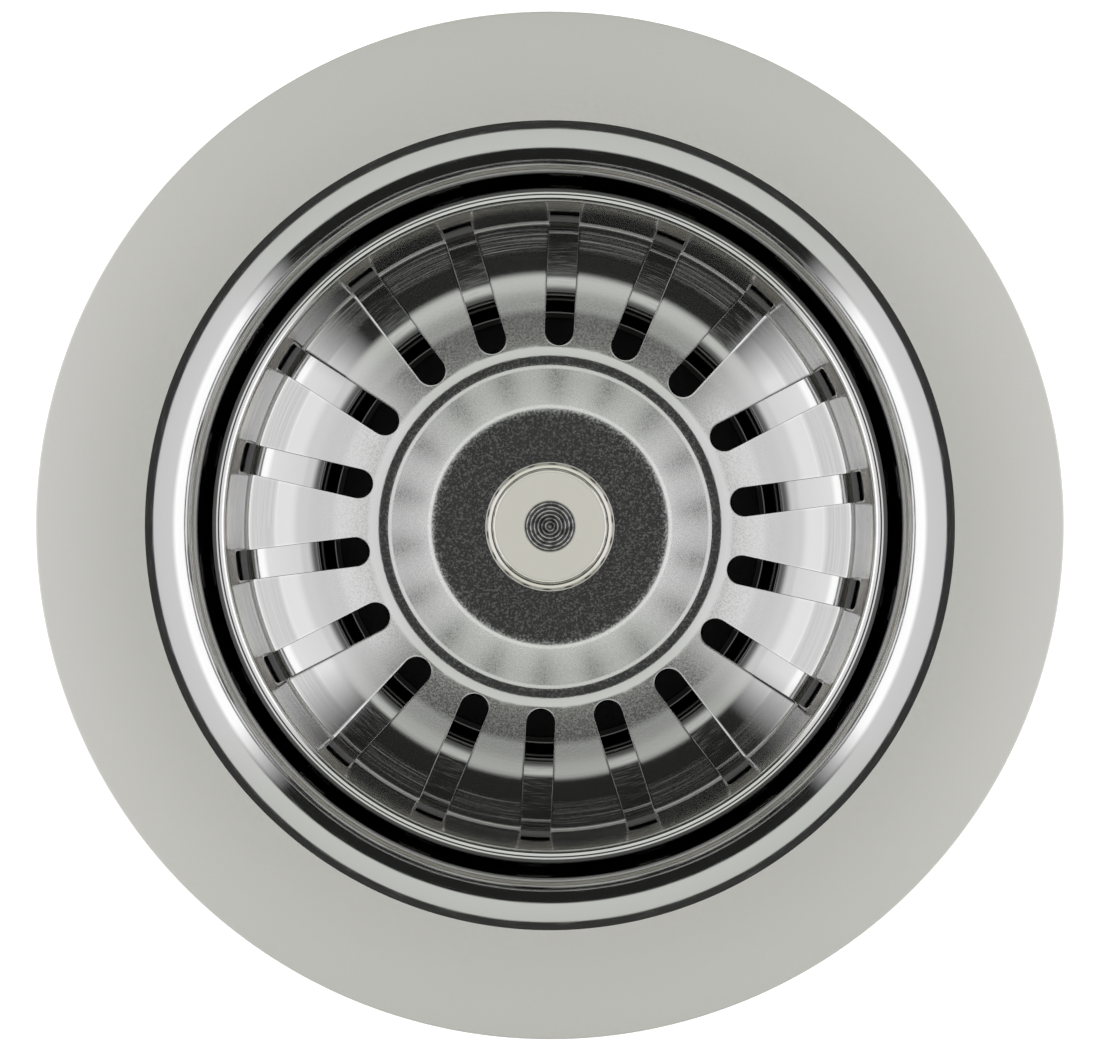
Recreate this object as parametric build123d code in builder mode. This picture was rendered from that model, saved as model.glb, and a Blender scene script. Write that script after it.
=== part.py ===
from build123d import *
import math
import os

os.makedirs("parts", exist_ok=True)

# Basket strainer waste for a kitchen sink, 3 1/2 inch size, in millimetres.
# The waste stands upright: its axis is Z, and the lower end of the outlet lies at Z = 0.
# One hollow central screw pulls the pressed bowl down onto the hub of the moulded body,
# so that the sink's sheet is gripped between the two gaskets.

# Outlet, body and hub
outlet_length = 22.0
outlet_radius = 23.9
outlet_bore_radius = 20.0
outlet_chamfer = 1.0
collar_radius = 27.0
collar_height = 4.0
body_wall = 3.0
funnel_rise = 16.0
funnel_foot_rise = 7.0
funnel_foot_round = 6.0
cup_foot_rise = 4.0
cup_foot_round = 8.0
cup_draft = 0.6
cup_gap = 1.6
body_flange_inset = 3.0
body_flange_thick = 3.0
lip_wall = 1.2
lip_height = 1.2
flange_chamfer = 0.8
hub_radius = 11.0
hub_height = 16.0
arm_count = 4
arm_thick = 4.0
arm_depth = 13.0
arm_turn = 45.0

# Pressed bowl with its flange
bowl_sheet = 0.8
flange_overlap = 12.0
flange_edge_chamfer = 0.3
throat_gap = 5.6
shoulder_round = 5.4
bowl_depth = 33.0
bowl_draft = 1.0
bowl_corner_round = 5.0
shelf_gap = 1.5
shelf_edge_round = 2.0
sump_clearance = 1.4
sump_draft = 0.6
sump_foot_round = 1.0
kidney_count = 4
kidney_mid_radius = 16.0
kidney_width = 8.0
kidney_sweep = 44.0

# Gaskets, and the sink's sheet between them
sink_hole_radius = 45.0
sink_sheet = 2.2
rim_gasket_thick = 1.5
rim_gasket_inset = 1.0
body_gasket_thick = 3.0
body_gasket_overlap = 2.5
gasket_chamfer = 0.4
gasket_fit = 0.2

# Fixing screw, its washer and the brass insert
screw_radius = 5.0
screw_bore_radius = 3.1
screw_bore_depth = 12.0
drill_tip_rise = 1.5
screw_head_radius = 9.0
screw_head_height = 3.0
screw_head_round = 1.2
screw_slot_width = 2.0
screw_slot_depth = 1.4
screw_stick_out = 2.0
screw_mouth_chamfer = 0.6
detent_width = 1.6
detent_depth = 0.4
screw_washer_radius = 11.0
screw_washer_thick = 1.0
screw_washer_chamfer = 0.25
screw_fit = 0.15
insert_flats = 15.0
insert_height = 10.0
insert_chamfer = 0.6
thread_fit = 0.05

# Basket: rim, wall in two slopes, slotted cone, groove, then the raised middle
basket_sheet = 0.6
basket_gap = 1.5
rim_lip_height = 2.0
rim_outer_round = 0.8
rim_width = 1.45
rim_inner_round = 0.75
wall_top_lean = 0.9
wall_top_height = 4.9
wall_bend_round = 1.9
wall_lean = 1.05
wall_height = 6.1
cone_outer_round = 1.0
cone_run = 9.75
cone_rise = 5.5
cone_inner_round = 4.1
skirt_run = 4.57
skirt_rise = 2.7
groove_outer_round = 2.7
groove_flat = 1.78
groove_inner_round = 1.3
step_lean = 4.8
step_height = 2.6
step_top_round = 1.3

# Slots through the basket's cone
slot_count = 18
slot_width = 3.3
slot_turn = 87.3
slot_start = 0.7
slot_end = 0.7

# Knob, stem, seal and catch ring on the basket
knob_foot_radius = 7.4
knob_foot_height = 1.0
knob_foot_round = 0.7
knob_neck_radius = 4.9
knob_neck_height = 1.5
knob_head_radius = 6.55
knob_head_height = 3.0
knob_head_round = 0.4
knob_dimple_radius = 3.0
knob_dimple_depth = 0.9
knob_thread_depth = 3.6
stem_radius = 3.0
stem_fit = 0.1
collar_gap = 0.5
stem_collar_radius = 6.0
stem_collar_thick = 1.5
stem_tip_length = 11.0
stem_tip_chamfer = 0.8
groove_radius = 2.2
groove_width = 1.0
ring_fit = 0.05
ring_split = 40.0
straining_lift = 6.0
retainer_radius = 11.0
retainer_thick = 1.0
retainer_chamfer = 0.5
seal_radius = 24.4
seal_hub_thick = 2.5
seal_shoulder_radius = 12.6
seal_lip_width = 2.9
seal_lip_thick = 1.7
seal_gap = 0.2
seal_hub_edge = 0.6
seal_round = 0.8

# Radii that follow from the hole in the sink
flange_radius = sink_hole_radius + flange_overlap
body_flange_radius = flange_radius - body_flange_inset
throat_radius = sink_hole_radius - throat_gap
bowl_corner_radius = throat_radius - bowl_draft
sump_foot_radius = seal_radius + sump_clearance
sump_radius = sump_foot_radius + sump_draft
body_gasket_bore = sink_hole_radius - body_gasket_overlap

# Heights, stacked up from the end of the outlet
seat_z = outlet_length + funnel_rise
floor_z = seat_z + bowl_sheet
flange_top_z = floor_z + bowl_depth
flange_under_z = flange_top_z - bowl_sheet
sink_top_z = flange_under_z - rim_gasket_thick
sink_under_z = sink_top_z - sink_sheet
body_top_z = sink_under_z - body_gasket_thick
hub_bottom_z = seat_z - hub_height
head_under_z = floor_z + screw_washer_thick
head_top_z = head_under_z + screw_head_height
stem_collar_z = head_top_z + collar_gap
retainer_z = stem_collar_z + stem_collar_thick
seal_hub_z = retainer_z + retainer_thick
plateau_under_z = seal_hub_z + seal_hub_thick
plateau_z = plateau_under_z + basket_sheet
groove_z = plateau_z - step_height
cone_foot_z = groove_z + skirt_rise
cone_top_z = cone_foot_z + cone_rise
wall_bend_z = cone_top_z + wall_height
rim_z = wall_bend_z + wall_top_height

# Radii of the basket's profile, worked inwards from the throat
rim_radius = throat_radius - basket_gap
wall_top_radius = rim_radius - rim_width
wall_bend_radius = wall_top_radius - wall_top_lean
cone_top_radius = wall_bend_radius - wall_lean
cone_foot_radius = cone_top_radius - cone_run
groove_outer_radius = cone_foot_radius - skirt_run
groove_inner_radius = groove_outer_radius - groove_flat
step_top_radius = groove_inner_radius - step_lean
stem_hole_radius = stem_radius + stem_fit

# The bowl's shelf lies under the basket's cone, parallel to it
cone_angle = math.atan2(cone_rise, cone_run)
shelf_drop = (basket_sheet + shelf_gap) / math.cos(cone_angle)
shelf_slope = math.tan(cone_angle)
shelf_outer_z = cone_top_z - shelf_drop + shelf_slope * (bowl_corner_radius - cone_top_radius)
shelf_inner_z = cone_top_z - shelf_drop + shelf_slope * (sump_radius - cone_top_radius)

# Anything shorter in an offset line is a leftover of its corners
shortest_edge = 0.002


# Pressed bowl: flat flange, rounded shoulder, throat and wall, then a sloping shelf under
# the basket and a sump with a flat floor. The line is the side that the water sees, and the
# sheet lies outside it.
kidney_line = CenterArc((0, 0), kidney_mid_radius, -kidney_sweep / 2, kidney_sweep)

with BuildPart() as flange_bowl:
    with BuildSketch(Plane.XZ):
        with BuildLine():
            FilletPolyline(
                (flange_radius, flange_top_z),
                (throat_radius, flange_top_z),
                (bowl_corner_radius, shelf_outer_z),
                (sump_radius, shelf_inner_z),
                (sump_foot_radius, floor_z),
                (screw_radius + screw_fit, floor_z),
                radius=[shoulder_round, bowl_corner_round, shelf_edge_round, sump_foot_round],
            )
            offset(amount=bowl_sheet, side=Side.LEFT, min_edge_length=shortest_edge)
        make_face()
    revolve(axis=Axis.Z)
    flange_rim = flange_bowl.edges().filter_by(GeomType.CIRCLE).group_by(Axis.Z)[-1]
    chamfer(flange_rim.sort_by(SortBy.RADIUS)[-1], length=flange_edge_chamfer)
    with BuildSketch(Plane.XY.offset(floor_z)):
        with PolarLocations(0, kidney_count):
            SlotArc(kidney_line, kidney_width)
    extrude(amount=bowl_sheet, both=True, mode=Mode.SUBTRACT)

flange_bowl.part.label = "flange_bowl"
export_step(flange_bowl.part, "parts/flange_bowl.step")


# Gaskets above and below the sink's sheet
with BuildPart() as rim_gasket:
    with BuildSketch(Plane.XY.offset(sink_top_z)):
        Circle(flange_radius - rim_gasket_inset)
        Circle(sink_hole_radius, mode=Mode.SUBTRACT)
    extrude(amount=rim_gasket_thick)

rim_gasket.part.label = "rim_gasket"
export_step(rim_gasket.part, "parts/rim_gasket.step")

body_gasket_radius = body_flange_radius - lip_wall - gasket_fit

with BuildPart() as body_gasket:
    with BuildSketch(Plane.XY.offset(body_top_z)):
        Circle(body_gasket_radius)
        Circle(body_gasket_bore, mode=Mode.SUBTRACT)
    extrude(amount=body_gasket_thick)
    chamfer(body_gasket.edges().filter_by(GeomType.CIRCLE), length=gasket_chamfer)

body_gasket.part.label = "body_gasket"
export_step(body_gasket.part, "parts/body_gasket.step")


# Moulded body: clamping flange, cup round the bowl and funnel in one wall, with a collar
# round the foot of the funnel
cup_radius = throat_radius + bowl_sheet + cup_gap
cup_foot_radius = cup_radius - cup_draft
cup_foot_z = seat_z + cup_foot_rise
funnel_foot_z = outlet_length + funnel_foot_rise
flange_lower_z = body_top_z - body_flange_thick

with BuildPart() as waste_body:
    with BuildSketch(Plane.XZ):
        with BuildLine():
            FilletPolyline(
                (cup_radius, body_top_z),
                (cup_foot_radius, cup_foot_z),
                (outlet_bore_radius, funnel_foot_z),
                (outlet_bore_radius, outlet_length),
                radius=[cup_foot_round, funnel_foot_round],
            )
            offset(amount=body_wall, side=Side.LEFT, min_edge_length=shortest_edge)
        make_face()
    revolve(axis=Axis.Z)
    with BuildSketch(Plane.XY.offset(flange_lower_z)):
        Circle(body_flange_radius)
        Circle(cup_radius, mode=Mode.SUBTRACT)
    extrude(amount=body_flange_thick)
    widest_edges = waste_body.edges().filter_by(GeomType.CIRCLE).sort_by(SortBy.RADIUS)[-2:]
    chamfer(widest_edges.sort_by(Axis.Z)[0], length=flange_chamfer)
    with BuildSketch(Plane.XY.offset(body_top_z - lip_height)):
        Circle(body_flange_radius)
        Circle(body_flange_radius - lip_wall, mode=Mode.SUBTRACT)
    extrude(amount=2 * lip_height)
    with BuildSketch(Plane.XY.offset(outlet_length)):
        Circle(collar_radius)
        Circle(outlet_bore_radius + body_wall / 2, mode=Mode.SUBTRACT)
    extrude(amount=collar_height)

waste_body.part.label = "waste_body"
export_step(waste_body.part, "parts/waste_body.step")


# Outlet below the collar, with the diameter over its thread
with BuildPart() as outlet_tail:
    with BuildSketch(Plane.XY):
        Circle(outlet_radius)
        Circle(outlet_bore_radius, mode=Mode.SUBTRACT)
    extrude(amount=outlet_length)
    chamfer(outlet_tail.faces().sort_by(Axis.Z)[0].outer_wire().edges(), length=outlet_chamfer)

outlet_tail.part.label = "outlet_tail"
export_step(outlet_tail.part, "parts/outlet_tail.step")


# Hub on four arms, which end on the inside of the body's wall, with a pocket for the insert
with BuildPart() as hub_arm:
    with BuildSketch(Plane.XZ):
        with BuildLine():
            Polyline(
                (hub_radius / 2, seat_z),
                (cup_foot_radius - cup_foot_round + body_wall, seat_z),
                (outlet_bore_radius + body_wall / 2, funnel_foot_z),
                (outlet_bore_radius + body_wall / 2, seat_z - arm_depth),
                (hub_radius / 2, seat_z - arm_depth),
                close=True,
            )
        make_face()
    extrude(amount=arm_thick / 2, both=True)

with BuildPart() as body_hub:
    with BuildSketch(Plane.XY.offset(hub_bottom_z)):
        Circle(hub_radius)
    extrude(amount=hub_height)
    with PolarLocations(0, arm_count, start_angle=arm_turn):
        add(hub_arm.part)
    with Locations((0, 0, seat_z)):
        Hole(screw_radius + screw_fit)
    with BuildSketch(Plane.XY.offset(hub_bottom_z)):
        RegularPolygon(insert_flats / 2, 6, major_radius=False)
    extrude(amount=insert_height, mode=Mode.SUBTRACT)
    add(waste_body.part, mode=Mode.SUBTRACT)

body_hub.part.label = "body_hub"
export_step(body_hub.part, "parts/body_hub.step")


# Hexagonal brass insert, flush with the underside of the hub
with BuildPart() as insert_nut:
    with BuildSketch(Plane.XY.offset(hub_bottom_z)):
        RegularPolygon(insert_flats / 2, 6, major_radius=False)
        Circle(screw_radius + thread_fit, mode=Mode.SUBTRACT)
    extrude(amount=insert_height)
    chamfer(insert_nut.edges().filter_by(GeomType.CIRCLE), length=insert_chamfer)

insert_nut.part.label = "insert_nut"
export_step(insert_nut.part, "parts/insert_nut.step")


with BuildPart() as screw_washer:
    with BuildSketch(Plane.XY.offset(floor_z)):
        Circle(screw_washer_radius)
        Circle(screw_radius + screw_fit, mode=Mode.SUBTRACT)
    extrude(amount=screw_washer_thick)
    chamfer(screw_washer.edges().group_by(Axis.Z)[-1], length=screw_washer_chamfer)

screw_washer.part.label = "screw_washer"
export_step(screw_washer.part, "parts/screw_washer.step")


# Hollow fixing screw: domed head with a screwdriver slot, shank bored from the top
# for the stem, with a shallow groove where the catch ring sits when the basket is down.
screw_tip_z = hub_bottom_z - screw_stick_out
bore_foot_z = head_top_z - screw_bore_depth
ring_z = head_top_z - straining_lift

with BuildPart() as fixing_screw:
    with BuildSketch(Plane.XZ):
        with BuildLine():
            Polyline(
                (0, screw_tip_z),
                (screw_radius, screw_tip_z),
                (screw_radius, head_under_z),
                (screw_head_radius, head_under_z),
                (screw_head_radius, head_top_z),
                (screw_bore_radius, head_top_z),
                (screw_bore_radius, bore_foot_z),
                (0, bore_foot_z - drill_tip_rise),
                close=True,
            )
        make_face()
        with Locations((screw_bore_radius, ring_z)):
            Rectangle(2 * detent_depth, detent_width, mode=Mode.SUBTRACT)
    revolve(axis=Axis.Z)
    head_edges = fixing_screw.edges().filter_by(GeomType.CIRCLE).group_by(Axis.Z)[-1]
    fillet(head_edges.sort_by(SortBy.RADIUS)[-1], radius=screw_head_round)
    mouth_edges = fixing_screw.edges().filter_by(GeomType.CIRCLE).group_by(Axis.Z)[-1]
    chamfer(mouth_edges.sort_by(SortBy.RADIUS)[0], length=screw_mouth_chamfer)
    with BuildSketch(Plane.XY.offset(head_top_z)):
        Rectangle(2 * screw_head_radius, screw_slot_width)
    extrude(amount=-screw_slot_depth, mode=Mode.SUBTRACT)
    chamfer(fixing_screw.edges().group_by(Axis.Z)[0], length=screw_mouth_chamfer)

fixing_screw.part.label = "fixing_screw"
export_step(fixing_screw.part, "parts/fixing_screw.step")


# Pressed basket. The line is the upper side, from the rolled rim down the wall and the
# slotted cone, across the groove and up the step to the raised middle under the knob.
slot_inner_radius = groove_outer_radius + slot_start
slot_outer_radius = cone_top_radius - slot_end

with BuildPart() as slot_cutter:
    with BuildSketch(Plane.XY.offset(groove_z - slot_width)):
        with Locations((slot_inner_radius, 0)):
            SlotOverall(slot_outer_radius - slot_inner_radius, slot_width, align=(Align.MIN, Align.CENTER))
    extrude(amount=cone_top_z - groove_z + 2 * slot_width)

with BuildPart() as strainer_basket:
    with BuildSketch(Plane.XZ):
        with BuildLine():
            FilletPolyline(
                (rim_radius, rim_z - rim_lip_height),
                (rim_radius, rim_z),
                (wall_top_radius, rim_z),
                (wall_bend_radius, wall_bend_z),
                (cone_top_radius, cone_top_z),
                (cone_foot_radius, cone_foot_z),
                (groove_outer_radius, groove_z),
                (groove_inner_radius, groove_z),
                (step_top_radius, plateau_z),
                (stem_hole_radius, plateau_z),
                radius=[
                    rim_outer_round,
                    rim_inner_round,
                    wall_bend_round,
                    cone_outer_round,
                    cone_inner_round,
                    groove_outer_round,
                    groove_inner_round,
                    step_top_round,
                ],
            )
            offset(amount=basket_sheet, side=Side.LEFT, min_edge_length=shortest_edge)
        make_face()
    revolve(axis=Axis.Z)
    with PolarLocations(0, slot_count, start_angle=slot_turn):
        add(slot_cutter.part, mode=Mode.SUBTRACT)

strainer_basket.part.label = "strainer_basket"
export_step(strainer_basket.part, "parts/strainer_basket.step")


# Turned knob: foot on the basket, waist, flat head with a conical centre recess
knob_neck_z = plateau_z + knob_foot_height
knob_head_z = knob_neck_z + knob_neck_height
knob_top_z = knob_head_z + knob_head_height
thread_top_z = plateau_z + knob_thread_depth

with BuildPart() as knob:
    with BuildSketch(Plane.XZ):
        with BuildLine():
            outside = FilletPolyline(
                (stem_radius + thread_fit, plateau_z),
                (knob_foot_radius, plateau_z),
                (knob_foot_radius, knob_neck_z),
                (knob_neck_radius, knob_neck_z),
                (knob_neck_radius, knob_head_z),
                (knob_head_radius, knob_head_z),
                (knob_head_radius, knob_top_z),
                (knob_dimple_radius, knob_top_z),
                (0, knob_top_z - knob_dimple_depth),
                radius=[0, knob_foot_round, 0, 0, 0, knob_head_round, 0],
            )
            Polyline(
                outside @ 1,
                (0, thread_top_z),
                (stem_radius + thread_fit, thread_top_z),
                outside @ 0,
            )
        make_face()
    revolve(axis=Axis.Z)

knob.part.label = "knob"
export_step(knob.part, "parts/knob.step")


# Stem: threaded shank up through seal and basket into the knob, a collar under the seal's
# washer, and a plain tip that plugs into the fixing screw.
stem_tip_z = stem_collar_z - stem_tip_length
stem_top_z = thread_top_z - stem_fit

with BuildPart() as stem:
    with BuildSketch(Plane.XZ):
        with BuildLine():
            Polyline(
                (0, stem_tip_z),
                (stem_radius, stem_tip_z),
                (stem_radius, stem_collar_z),
                (stem_collar_radius, stem_collar_z),
                (stem_collar_radius, retainer_z),
                (stem_radius, retainer_z),
                (stem_radius, stem_top_z),
                (0, stem_top_z),
                close=True,
            )
        make_face()
        with Locations((groove_radius, ring_z)):
            Rectangle(
                stem_radius,
                groove_width,
                align=(Align.MIN, Align.CENTER),
                mode=Mode.SUBTRACT,
            )
    revolve(axis=Axis.Z)
    chamfer(stem.edges().group_by(Axis.Z)[0], length=stem_tip_chamfer)

stem.part.label = "stem"
export_step(stem.part, "parts/stem.step")


with BuildPart() as catch_ring:
    with BuildSketch(Plane.XZ):
        with Locations((groove_radius + stem_fit, ring_z)):
            Rectangle(
                stem_radius - groove_radius - stem_fit,
                groove_width - 2 * ring_fit,
                align=(Align.MIN, Align.CENTER),
            )
    revolve(axis=Axis.Z, revolution_arc=360 - ring_split)

catch_ring.part.label = "catch_ring"
export_step(catch_ring.part, "parts/catch_ring.step")


with BuildPart() as seal_retainer:
    with BuildSketch(Plane.XY.offset(retainer_z)):
        Circle(retainer_radius)
        Circle(stem_hole_radius, mode=Mode.SUBTRACT)
    extrude(amount=retainer_thick)
    lower_edges = seal_retainer.edges().filter_by(GeomType.CIRCLE).group_by(Axis.Z)[0]
    chamfer(lower_edges.sort_by(SortBy.RADIUS)[-1], length=retainer_chamfer)

seal_retainer.part.label = "seal_retainer"
export_step(seal_retainer.part, "parts/seal_retainer.step")


# Rubber seal: a flat hub clamped on the stem, and a conical skirt down to a lip
# that closes the bowl's floor outside its outlet openings.
lip_z = floor_z + seal_gap

with BuildPart() as basket_seal:
    with BuildSketch(Plane.XZ):
        with BuildLine():
            FilletPolyline(
                (stem_hole_radius, seal_hub_z),
                (retainer_radius + seal_hub_edge, seal_hub_z),
                (seal_radius - seal_lip_width, lip_z),
                (seal_radius, lip_z),
                (seal_radius, lip_z + seal_lip_thick),
                (seal_shoulder_radius, plateau_under_z),
                (stem_hole_radius, plateau_under_z),
                radius=[0, 0, 0, 0, seal_round, seal_round, 0],
                close=True,
            )
        make_face()
    revolve(axis=Axis.Z)

basket_seal.part.label = "basket_seal"
export_step(basket_seal.part, "parts/basket_seal.step")
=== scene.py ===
# %% [markdown]
# # A basket strainer waste, dressed and lit
# This lesson gives the plain CAD solids of a kitchen sink waste their looks. The waste has a
# pressed steel bowl with a wide satin flange, a polished basket with eighteen slots that lifts
# out by its knob, a rubber seal, and a moulded body underneath that a trap screws onto.
# The solids come in as a fixed frame, in metres, and every new piece stands where they stand.

# %% Load the solids as a fixed frame
import bpy
import bmesh
import math
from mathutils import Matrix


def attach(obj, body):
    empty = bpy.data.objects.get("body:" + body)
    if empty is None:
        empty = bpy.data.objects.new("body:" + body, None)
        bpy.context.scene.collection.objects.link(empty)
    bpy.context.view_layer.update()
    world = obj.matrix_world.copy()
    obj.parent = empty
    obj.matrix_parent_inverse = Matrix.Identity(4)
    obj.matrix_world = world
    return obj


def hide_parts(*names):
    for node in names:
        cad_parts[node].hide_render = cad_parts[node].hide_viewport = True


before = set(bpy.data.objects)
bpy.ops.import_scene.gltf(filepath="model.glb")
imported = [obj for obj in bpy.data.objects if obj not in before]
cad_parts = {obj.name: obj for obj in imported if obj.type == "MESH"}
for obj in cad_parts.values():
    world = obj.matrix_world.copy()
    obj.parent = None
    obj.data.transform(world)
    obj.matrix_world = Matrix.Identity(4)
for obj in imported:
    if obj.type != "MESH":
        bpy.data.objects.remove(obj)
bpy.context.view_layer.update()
MM = 0.001

# %% [markdown]
# ## Drawing a round piece
# A pressed or turned piece is a line that goes once round the axis. The line is written as a
# table of corners in millimetres: the radius from the axis, the height, and how round the
# press or the tool leaves the corner. A Bevel modifier could round a drawn profile, but it
# gives all corners one size, so the arcs are worked out here.

# %% Turn a table of corners into a line with arcs
def rounded(corners, degrees=5.0):
    """Corners (radius, height, round) become points; each round is an arc in short steps."""
    points = []
    last = len(corners) - 1
    for i, (r, z, size) in enumerate(corners):
        if size == 0 or i in (0, last):
            points.append((r, z))
            continue
        ax, az = corners[i - 1][0] - r, corners[i - 1][1] - z
        bx, bz = corners[i + 1][0] - r, corners[i + 1][1] - z
        la, lb = math.hypot(ax, az), math.hypot(bx, bz)
        ax, az, bx, bz = ax / la, az / la, bx / lb, bz / lb
        half = math.acos(max(-1.0, min(1.0, ax * bx + az * bz))) / 2
        reach = size / math.tan(half)
        mx, mz = ax + bx, az + bz
        lm = math.hypot(mx, mz)
        out = size / math.sin(half)
        cx, cz = r + mx / lm * out, z + mz / lm * out
        start = math.atan2(z + az * reach - cz, r + ax * reach - cx)
        end = math.atan2(z + bz * reach - cz, r + bx * reach - cx)
        turn = (end - start + math.pi) % (2 * math.pi) - math.pi
        steps = max(2, round(abs(math.degrees(turn)) / degrees))
        for k in range(steps + 1):
            a = start + turn * k / steps
            points.append((cx + size * math.cos(a), cz + size * math.sin(a)))
    return points


print("points of a square corner", len(rounded([(0, 0, 0), (5, 0, 1.0), (5, 5, 0)])))

# %% [markdown]
# ## Sheet metal
# Sheet has two faces at an even distance. For a spun piece the second face can be drawn too:
# the line is moved to its left by the thickness and walked back, which closes the outline.
# Solidify does the same to a finished mesh, and the basket further down uses it.

# %% Give a line the thickness of a sheet
TINY = 1e-9


def thickened(points, sheet):
    """The closed outline of a sheet whose face is the line; the metal lies on its left."""
    back = []
    for i, (r, z) in enumerate(points):
        before = points[max(i - 1, 0)]
        after = points[min(i + 1, len(points) - 1)]
        normals = []
        for a, b in ((before, (r, z)), ((r, z), after)):
            length = math.hypot(b[0] - a[0], b[1] - a[1])
            if length > TINY:
                normals.append((-(b[1] - a[1]) / length, (b[0] - a[0]) / length))
        nx = sum(n[0] for n in normals) / len(normals)
        nz = sum(n[1] for n in normals) / len(normals)
        stretch = sheet / (nx * nx + nz * nz)
        back.append((r + nx * stretch, z + nz * stretch))
    return points + back[::-1]


print("outline of a flat sheet", thickened([(0, 0), (5, 0)], 1.0))

# %% [markdown]
# ## Spinning a piece
# By hand this is a ring of points drawn beside the axis and spun round it. The same happens
# here: a circle is added, its points go to the outline, and Spin does the rest. The first
# and the last copy of the outline lie on each other, so doubled points are merged.

# %% Spin an outline into a piece
MERGE_WITHIN = 0.0005 * MM


def clear():
    """Leaves edit mode with nothing selected."""
    if bpy.context.object and bpy.context.object.mode != "OBJECT":
        bpy.ops.object.mode_set(mode="OBJECT")
    bpy.ops.object.select_all(action="DESELECT")


def close_up():
    """Merges doubles and points the faces outwards, on the piece that is being edited."""
    bpy.ops.mesh.select_all(action="SELECT")
    bpy.ops.mesh.remove_doubles(threshold=MERGE_WITHIN)
    bpy.ops.mesh.normals_make_consistent(inside=False)
    bpy.ops.object.mode_set(mode="OBJECT")


def spun(name, outline, steps=240):
    """One closed outline in millimetres, spun about the Z axis."""
    clear()
    bpy.ops.mesh.primitive_circle_add(vertices=len(outline), radius=MM)
    piece = bpy.context.object
    piece.name = piece.data.name = name
    for vert, (r, z) in zip(piece.data.vertices, outline):
        vert.co = (max(r, 0.0) * MM, 0.0, z * MM)
    bpy.ops.object.mode_set(mode="EDIT")
    bpy.ops.mesh.select_all(action="SELECT")
    bpy.ops.mesh.spin(steps=steps, angle=2 * math.pi, center=(0, 0, 0), axis=(0, 0, 1))
    close_up()
    return piece


# %% [markdown]
# ## Shading, cutting and joining
# Round metal needs smooth shading, but a turned edge has to stay an edge, so shading is
# smooth up to an angle. Cuts are booleans, applied at once, because the pieces that are
# cut here have flat faces at the cut and come out clean.

# %% Shade, apply, cut and join
def pick(piece):
    """Makes one piece the only selected and the active one."""
    clear()
    piece.select_set(True)
    bpy.context.view_layer.objects.active = piece


def smooth(piece, degrees=32):
    """Smooth shading that keeps the true edges."""
    pick(piece)
    bpy.ops.object.shade_smooth_by_angle(angle=math.radians(degrees))


def apply_all(piece):
    """Applies every modifier of a piece, in their order."""
    pick(piece)
    for modifier in list(piece.modifiers):
        bpy.ops.object.modifier_apply(modifier=modifier.name)


def cut(piece, cutter):
    """Takes the cutter out of the piece and removes it."""
    boolean = piece.modifiers.new("cut", "BOOLEAN")
    boolean.operation = "DIFFERENCE"
    boolean.solver = "EXACT"
    boolean.object = cutter
    apply_all(piece)
    bpy.data.objects.remove(cutter, do_unlink=True)


def join(pieces):
    """Joins pieces into the first one."""
    clear()
    for p in pieces:
        p.select_set(True)
    bpy.context.view_layer.objects.active = pieces[0]
    bpy.ops.object.join()
    return pieces[0]


# %% [markdown]
# ## The pressed bowl
# The flange, the rounded shoulder, the wall, the sloping shelf and the sump are one pressing
# from thin sheet, so they are one spun outline. The wall leans in to a wide round, close
# under the basket, and that round is what the slots show. The flange's outer edge gets its
# own small round, because the light line along it tells the eye that the sheet is thin.

# %% Spin the bowl
FLANGE_RADIUS = 57.0
FLANGE_TOP = 71.8
FLOOR = 38.8
BOWL_SHEET = 0.8
EDGE_ROUND = 0.3
EDGE_MIDDLE = 0.09
bowl_line = rounded([
    (FLANGE_RADIUS - EDGE_ROUND, FLANGE_TOP, 0),
    (39.4, FLANGE_TOP, 5.5),
    (39.1, 66.0, 1.0),
    (37.45, 62.0, 2.0),
    (35.6, 52.7, 8.0),
    (28.6, 48.66, 12.0),
    (26.4, 47.52, 1.2),
    (25.8, FLOOR, 1.0),
    (5.15, FLOOR, 0),
], degrees=3.0)
bowl_outline = [(FLANGE_RADIUS - EDGE_MIDDLE, FLANGE_TOP - EDGE_MIDDLE)]
bowl_outline += thickened(bowl_line, BOWL_SHEET)
bowl_outline += [
    (FLANGE_RADIUS - EDGE_MIDDLE, FLANGE_TOP - BOWL_SHEET + EDGE_MIDDLE),
    (FLANGE_RADIUS, FLANGE_TOP - BOWL_SHEET + EDGE_ROUND),
    (FLANGE_RADIUS, FLANGE_TOP - EDGE_ROUND),
]
bowl = spun("pressed_bowl", bowl_outline, steps=288)
print("bowl outline points", len(bowl_outline))

# %% [markdown]
# ## The bowl's outlets
# Four kidney-shaped openings in the sump's floor let the water down round the screw. Their
# outline is four arcs, extruded to a cutter. A boolean is right here: the floor is flat, so
# a cut can't spoil the polish.

# %% Cut the four outlets
OUTLETS = 4
OUTLET_CIRCLE, OUTLET_ROUND = 16, 4
OUTLET_HALF = math.radians(22)
SIDE_STEPS, TIP_STEPS = 16, 12
CUTTER_HEIGHT = 4


def arc(x, y, radius, start, sweep, marks, steps):
    """Points on an arc round (x, y); the marks say which of its steps are used."""
    turns = [start + sweep * k / steps for k in marks]
    return [(x + radius * math.cos(a), y + radius * math.sin(a)) for a in turns]


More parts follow.
